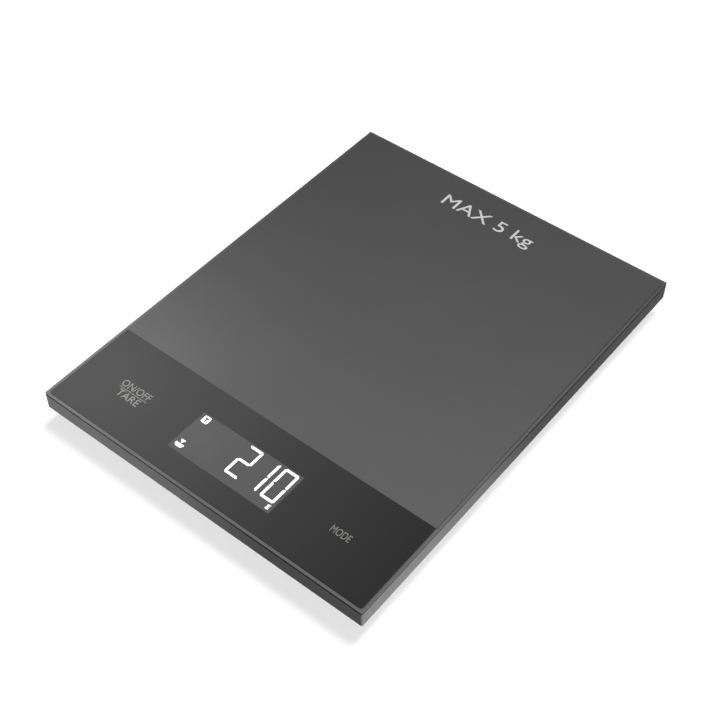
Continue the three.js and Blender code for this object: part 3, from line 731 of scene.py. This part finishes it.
# Outlines of the display's symbols, in millimetres from their centres.
TARE_LETTER = [(-0.95, 1.3), (-0.95, 0.4), (-0.45, 0.4), (-0.45, -1.35),
               (0.45, -1.35), (0.45, 0.4), (0.95, 0.4), (0.95, 1.3)]
BOWL = [(-2.2, 0.1), (-2.1, -0.75), (-1.7, -1.45), (-1.1, -1.8),
        (1.1, -1.8), (1.7, -1.45), (2.1, -0.75), (2.2, 0.1)]
BOWL_ARROW = [(-1.3, 2.4), (0, 0.6), (1.3, 2.4)]

# Where the symbols stand, from the display's centre.
BADGE_PLACE = Vector((-25.05 * MM, 8.85 * MM))
BADGE_HALF = Vector((1.75 * MM, 1.95 * MM))
BADGE_CORNER = 0.7 * MM
BOWL_PLACE = Vector((-24.9 * MM, -7.65 * MM))
UNIT_PLACE = Vector((26.3 * MM, -9.1 * MM))
UNIT_HALF = Vector((0.85 * MM, 1.25 * MM))


def digit_segments():
    """The outline of each bar of a seven-bar digit, counter-clockwise from its lower left corner."""
    w, h, t, c = DIGIT_WIDTH, DIGIT_HEIGHT, DIGIT_STROKE, DIGIT_CHAMFER
    mid, tip = h / 2, 0.15 * MM
    top = [(c / 2, h - c / 2), (t, h - t), (w - t, h - t), (w - c / 2, h - c / 2), (w - c, h), (c, h)]
    upper_left = [(0, mid + tip), (t * 0.4, mid + tip), (t, mid + t / 2), (t, h - t),
                  (c / 2, h - c / 2), (0, h - c)]
    middle = [(t * 0.45, mid), (t, mid - t / 2), (w - t, mid - t / 2), (w - t * 0.45, mid),
              (w - t, mid + t / 2), (t, mid + t / 2)]
    mirror_x = lambda outline: [(w - x, y) for x, y in reversed(outline)]
    mirror_y = lambda outline: [(x, h - y) for x, y in reversed(outline)]
    return {
        "a": top, "d": mirror_y(top), "g": middle,
        "f": upper_left, "b": mirror_x(upper_left),
        "e": mirror_y(upper_left), "c": mirror_y(mirror_x(upper_left)),
    }


def build_reading(paints, reading="210"):
    outlines = digit_segments()
    base_y = DISPLAY_CENTRE.y + DIGIT_TOP - DIGIT_HEIGHT
    for place, digit in enumerate(reversed(reading)):
        left = DISPLAY_CENTRE.x + LAST_DIGIT_X - place * DIGIT_PITCH
        loops = [
            [(left + x, base_y + y) for x, y in shrink(outlines[s], DIGIT_GAP)]
            for s in SEGMENTS_OF[digit]]
        name = ("units_digit", "tens_digit", "hundreds_digit")[place]
        flat_print(name, loops, paints["display_light"])


def build_icons(paints):
    """The tare badge, the bowl symbol and the unit letter at the display's corners."""
    light = paints["display_light"]
    badge = DISPLAY_CENTRE.xy + BADGE_PLACE
    rounded = rounded_outline(BADGE_HALF.x, BADGE_HALF.y, BADGE_CORNER, 5)
    outline = [(badge.x + p.x, badge.y + p.y) for p in rounded]
    hole = [(badge.x + x * MM, badge.y + y * MM) for x, y in TARE_LETTER]
    flat_print("tare_icon", [outline, hole], light)
    bowl = DISPLAY_CENTRE.xy + BOWL_PLACE
    loops = [[(bowl.x + x * MM, bowl.y + y * MM) for x, y in loop] for loop in (BOWL, BOWL_ARROW)]
    flat_print("bowl_icon", loops, light)
    unit = DISPLAY_CENTRE.xy + UNIT_PLACE
    caption("unit_letter", "g", unit - UNIT_HALF, unit + UNIT_HALF, light)


# Boxes of the captions: left, bottom, right and top, in metres.
POWER_BOX = (-67.2 * MM, -91.5 * MM, -50.6 * MM, -87.7 * MM)
ZERO_BOX = (-65.3 * MM, -96.9 * MM, -52.6 * MM, -93.1 * MM)
RULE_BOX = (-67.0 * MM, -92.45 * MM, -50.4 * MM, -92.15 * MM)
UNIT_BOX = (55.0 * MM, -93.9 * MM, 64.9 * MM, -90.2 * MM)
CAPACITY_BOX = (-28.0 * MM, 91.8 * MM, 25.0 * MM, 101.8 * MM)


def build_captions(paints):
    """Plain key captions and a capacity marking."""
    for name, words, box, slot in (
            ("power_caption", "ON/OFF", POWER_BOX, "key_print"),
            ("zero_caption", "TARE", ZERO_BOX, "key_print"),
            ("unit_caption", "MODE", UNIT_BOX, "key_print"),
            ("capacity_marking", "MAX 5 kg", CAPACITY_BOX, "scale_print")):
        caption(name, words, Vector(box[:2]), Vector(box[2:]), paints[slot])
    left, bottom, right, top = RULE_BOX
    rule = [(left, bottom), (right, bottom), (right, top), (left, top)]
    flat_print("caption_rule", [rule], paints["key_print"])


# ---- Casing ----------------------------------------------------------------------------------

GROOVE_BOTTOM = TRAY_HIGH.z - 1.2 * MM
GROOVE_TOP = TRAY_HIGH.z - 0.5 * MM
TOUCH = 0.01 * MM                           # how near a face counts as lying in a plane


def tray_paint(face):
    """0 for the tray's sides, 1 for the shadow groove below its rim and 2 for the rim's top, which is
    painted lighter as a painted highlight.
    """
    middle = face.calc_center_median()
    if face.normal.z > 0.9 and middle.z > TRAY_HIGH.z - TOUCH:
        return 2
    at_groove_height = GROOVE_BOTTOM - TOUCH < middle.z < GROOVE_TOP + TOUCH
    inside_wall = abs(middle.x) < TRAY_HIGH.x - TOUCH and abs(middle.y) < TRAY_HIGH.y - TOUCH
    return 1 if at_groove_height and inside_wall else 0


# How wide the casing's edges are rounded.
TRAY_ROUNDING = 0.2 * MM
BASE_ROUNDING = 0.25 * MM
DOOR_ROUNDING = 0.12 * MM
LABEL_ROUNDING = 0.04 * MM


def build_casing(paints):
    tray_materials = [paints[n] for n in ("frame_plastic", "seam_shadow", "rim_plastic_painted_highlight")]
    plastic = [paints["base_plastic"]]
    bevelled_copy("platform_tray", "tray_shell", tray_materials, TRAY_ROUNDING,
                  paint_face=tray_paint)
    bevelled_copy("base_housing", "base_shell", plastic, BASE_ROUNDING)
    bevelled_copy("battery_door", "door_panel", plastic, DOOR_ROUNDING,
                  body="battery_door")
    bevelled_copy("rating_label", "label_plate", [paints["label_film"]], LABEL_ROUNDING)


BUTTON_RADIUS = 2.6 * MM                    # a little more than the cell's raised end contact
CELL_ROUNDING = 0.3 * MM


def build_cells(paints):
    """The two battery cells, with bare steel at their ends and printed film round the can."""
    for node in ("battery_front", "battery_back"):
        low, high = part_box(node)
        centre = (low + high) / 2

        def cell_paint(face):
            middle = face.calc_center_median()
            off_axis = math.hypot(middle.y - centre.y, middle.z - centre.z)
            return 1 if abs(face.normal.x) > 0.7 or off_axis < BUTTON_RADIUS else 0

        bevelled_copy(node, node + "_cell", [paints["battery_jacket"], paints["contact_steel"]],
                      CELL_ROUNDING, paint_face=cell_paint)


# Inner pieces with moulded or ground edges, and how wide those edges are rounded, in metres.
INNER_ROUNDINGS = {
    "display_holder": 0.15 * MM, "display_panel": 0.1 * MM, "display_backlight": 0.15 * MM,
    "connector_strip": 0.1 * MM, "controller_chip": 0.08 * MM, "weighing_chip": 0.08 * MM,
    "reservoir_capacitor": 0.15 * MM, "sensor_socket_left": 0.15 * MM, "sensor_socket_right": 0.15 * MM,
    **{"cell_holder_" + corner: 0.15 * MM for corner in CORNER_NAMES},
}


def build_inner_pieces(paints):
    slots = {entry["node"]: entry["material_slot"] for entry in frame["record"]["subparts"]}
    for node, width in INNER_ROUNDINGS.items():
        bevelled_copy(node, node + "_moulded", [paints[slots[node]]], width)


BASE_FLOOR = 1.6 * MM                       # thickness of the base's floor
FOOT_CLEARANCE = 0.3 * MM
FLANGE_WIDTH = 1.2 * MM                     # how far the cup's flange stands out above that floor
FLANGE_THICKNESS = 0.8 * MM
POST_RADIUS = 3 * MM                        # the post on the cup that bears on the load cell


def build_feet(paints):
    """A turned cup and a rubber pad for each foot."""
    for corner in CORNER_NAMES:
        body = "foot_" + corner
        low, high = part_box("foot_cup_" + corner)
        pad_low, pad_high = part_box("foot_pad_" + corner)
        centre = (low + high) / 2
        pad_radius = (pad_high.x - pad_low.x) / 2
        flange_radius = (high.x - low.x) / 2
        cup_radius = flange_radius - FLANGE_WIDTH
        socket_radius = pad_radius + FOOT_CLEARANCE
        socket_top = pad_high.z + FOOT_CLEARANCE
        flange_bottom = BASE_LOW.z + BASE_FLOOR + FOOT_CLEARANCE
        flange_top = flange_bottom + FLANGE_THICKNESS
        cup = [
            (0, socket_top), (socket_radius, socket_top), (socket_radius, low.z),
            (cup_radius, low.z), (cup_radius, flange_bottom),
            (flange_radius, flange_bottom), (flange_radius, flange_top),
            (POST_RADIUS, flange_top), (POST_RADIUS, high.z), (0, high.z)]
        turned_piece(rounded_profile(cup, 0.35 * MM), centre, f"foot_ring_{corner}",
                     [paints["foot_plastic"]], body, ("foot_cup_" + corner,))
        build_pad(corner, centre, pad_radius, pad_low.z, pad_high.z, paints, body)


PAD_CHAMFER = 0.4 * MM
GRIP_RINGS = (0.72, 0.45)                   # where the grip grooves run, as shares of the radius
GRIP_HALF_WIDTH = 0.5 * MM
GRIP_FLOOR = 0.6                            # the groove's width at its bottom, as a share
GRIP_DEPTH = 0.25 * MM


def build_pad(corner, centre, radius, bottom, top, paints, body):
    """A rubber pad with two shallow grip grooves round its face."""
    floor_half_width = GRIP_HALF_WIDTH * GRIP_FLOOR
    profile = [(0, top), (radius, top), (radius, bottom + PAD_CHAMFER), (radius - PAD_CHAMFER, bottom)]
    for ring in (radius * share for share in GRIP_RINGS):
        profile += [
            (ring + GRIP_HALF_WIDTH, bottom), (ring + floor_half_width, bottom + GRIP_DEPTH),
            (ring - floor_half_width, bottom + GRIP_DEPTH), (ring - GRIP_HALF_WIDTH, bottom)]
    profile.append((0, bottom))
    turned_piece(rounded_profile(profile, 0.15 * MM), centre, f"rubber_foot_{corner}",
                 [paints["foot_rubber"]], body, ("foot_pad_" + corner,))


HEAD_HEIGHT = 1.5 * MM
SHANK_RADIUS = 1 * MM
TIP_LENGTH = 0.6 * MM


def build_screws(paints):
    """Pan-head screws with a cross recess in the head, which faces down."""
    for name in SCREW_NAMES:
        low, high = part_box(name)
        centre = (low + high) / 2
        head = (high.x - low.x) / 2
        seat = low.z + HEAD_HEIGHT
        tip = high.z - TIP_LENGTH
        profile = [
            (0, low.z), (head * 0.5, low.z + 0.06 * MM), (head * 0.8, low.z + 0.3 * MM),
            (head, low.z + 0.95 * MM), (head, seat), (SHANK_RADIUS, seat), (SHANK_RADIUS, tip), (0, high.z)]
        piece = turned_piece(rounded_profile(profile, 0.12 * MM), centre, name + "_turned",
                             [paints["screw_steel"]], BODY, (name,), segments=32)
        cut_cross(piece, centre, low.z, head)


RECESS_DEPTH = 0.85 * MM
RECESS_START = 0.3 * MM                     # how far below the head the cutter begins
RECESS_TAPER = 0.72


def cut_cross(piece, centre, bottom, head):
    """Cuts a tapered cross recess into a screw's head."""
    arm, width = head * 0.58, head * 0.17
    outline = [
        (width, -arm), (width, -width), (arm, -width), (arm, width), (width, width), (width, arm),
        (-width, arm), (-width, width), (-arm, width), (-arm, -width), (-width, -width), (-width, -arm)]
    bm = bmesh.new()
    lower, upper = [
        [bm.verts.new((centre.x + x * size, centre.y + y * size, height)) for x, y in outline]
        for size, height in ((1, bottom - RECESS_START), (RECESS_TAPER, bottom + RECESS_DEPTH))]
    loop_faces(bm, lower, upper)
    bm.faces.new(reversed(lower))
    bm.faces.new(upper)
    bmesh.ops.recalc_face_normals(bm, faces=bm.faces)
    cutter = bpy.data.objects.new("cutter", mesh_of(bm, smooth=False))
    bpy.context.scene.collection.objects.link(cutter)
    while piece.modifiers:
        piece.modifiers.remove(piece.modifiers[0])
    recess = piece.modifiers.new("recess", "BOOLEAN")
    recess.object = cutter
    recess.operation = "DIFFERENCE"
    recess.solver = "EXACT"
    bpy.context.view_layer.update()
    evaluated = piece.evaluated_get(bpy.context.evaluated_depsgraph_get())
    cut = bpy.data.meshes.new_from_object(evaluated)
    old = piece.data
    piece.modifiers.remove(recess)
    piece.data = cut
    bpy.data.meshes.remove(old)
    bpy.data.objects.remove(cutter)
    sharp = piece.modifiers.new("crisp_corners", "EDGE_SPLIT")
    sharp.split_angle = math.radians(40)


# ---- Pieces carried over from the frame ------------------------------------------------------

def dress_nodes(paints):
    """Gives every CAD node the material of its slot."""
    for entry in frame["record"]["subparts"]:
        node = frame["nodes"][entry["node"]]
        node.data.materials.clear()
        node.data.materials.append(paints[entry["material_slot"]])


def lit_collection():
    """Every piece of the object, for the lamps that light nothing else."""
    group = bpy.data.collections.new("object_only")
    for thing in bpy.context.scene.objects:
        if thing.type == "MESH" and thing.name != "floor":
            group.objects.link(thing)
    return group


WORLD_STRENGTH = 0.12
KEY_STRENGTH = 1.62
KEY_SPREAD = 22                             # degrees
KEY_LEAN = 22                               # degrees
WASH_STRENGTH = 2.46

# The fills: where each one stands and what it aims at, in metres, and its power in watts.
LEFT_PLACE, LEFT_AIM, LEFT_POWER = (-0.09, -0.096, TOP_Z + 0.09), (-0.09, -0.096, 0), 0.104
RIGHT_PLACE, RIGHT_AIM, RIGHT_POWER = (0.089, -0.112, TOP_Z + 0.31), (0.089, -0.112, 0), 0.65
FRONT_PLACE, FRONT_AIM, FRONT_POWER = (-0.088, -0.316, 0.008), (-0.088, -0.116, 0.012), 1.69
SIDE_PLACE, SIDE_AIM, SIDE_POWER = (0.21, -0.112, 0.008), (0.09, -0.112, 0.012), 1.34
FILL_SIZE = 0.02                            # metres, of the two square fills
FRONT_BEAM = (33, 0.7)                      # half the beam's angle in degrees, and its soft share
SIDE_BEAM = (46, 0.5)


def add_lights(floor, pieces):
    """A soft key from above, even light on the floor and four fills on the object."""
    add_world(WORLD_STRENGTH)
    add_wash(floor, WASH_STRENGTH)
    add_sun("key", KEY_STRENGTH, KEY_SPREAD, KEY_LEAN)
    add_area("left_fill", LEFT_PLACE, LEFT_AIM, FILL_SIZE, LEFT_POWER, pieces)
    add_area("right_fill", RIGHT_PLACE, RIGHT_AIM, FILL_SIZE, RIGHT_POWER, pieces)
    add_spot("front_fill", FRONT_PLACE, FRONT_AIM, *FRONT_BEAM, FRONT_POWER, pieces)
    add_spot("side_fill", SIDE_PLACE, SIDE_AIM, *SIDE_BEAM, SIDE_POWER, pieces)


# ---- The scene -------------------------------------------------------------------------------

add_camera()
paints = make_materials()
dress_nodes(paints)
build_glass(paints)
build_reading(paints)
build_icons(paints)
build_captions(paints)
build_casing(paints)
build_cells(paints)
build_inner_pieces(paints)
build_feet(paints)
build_screws(paints)
floor = add_floor()

bpy.context.scene.view_settings.view_transform = "Standard"
bpy.context.scene.view_settings.look = "None"
add_lights(floor, lit_collection())
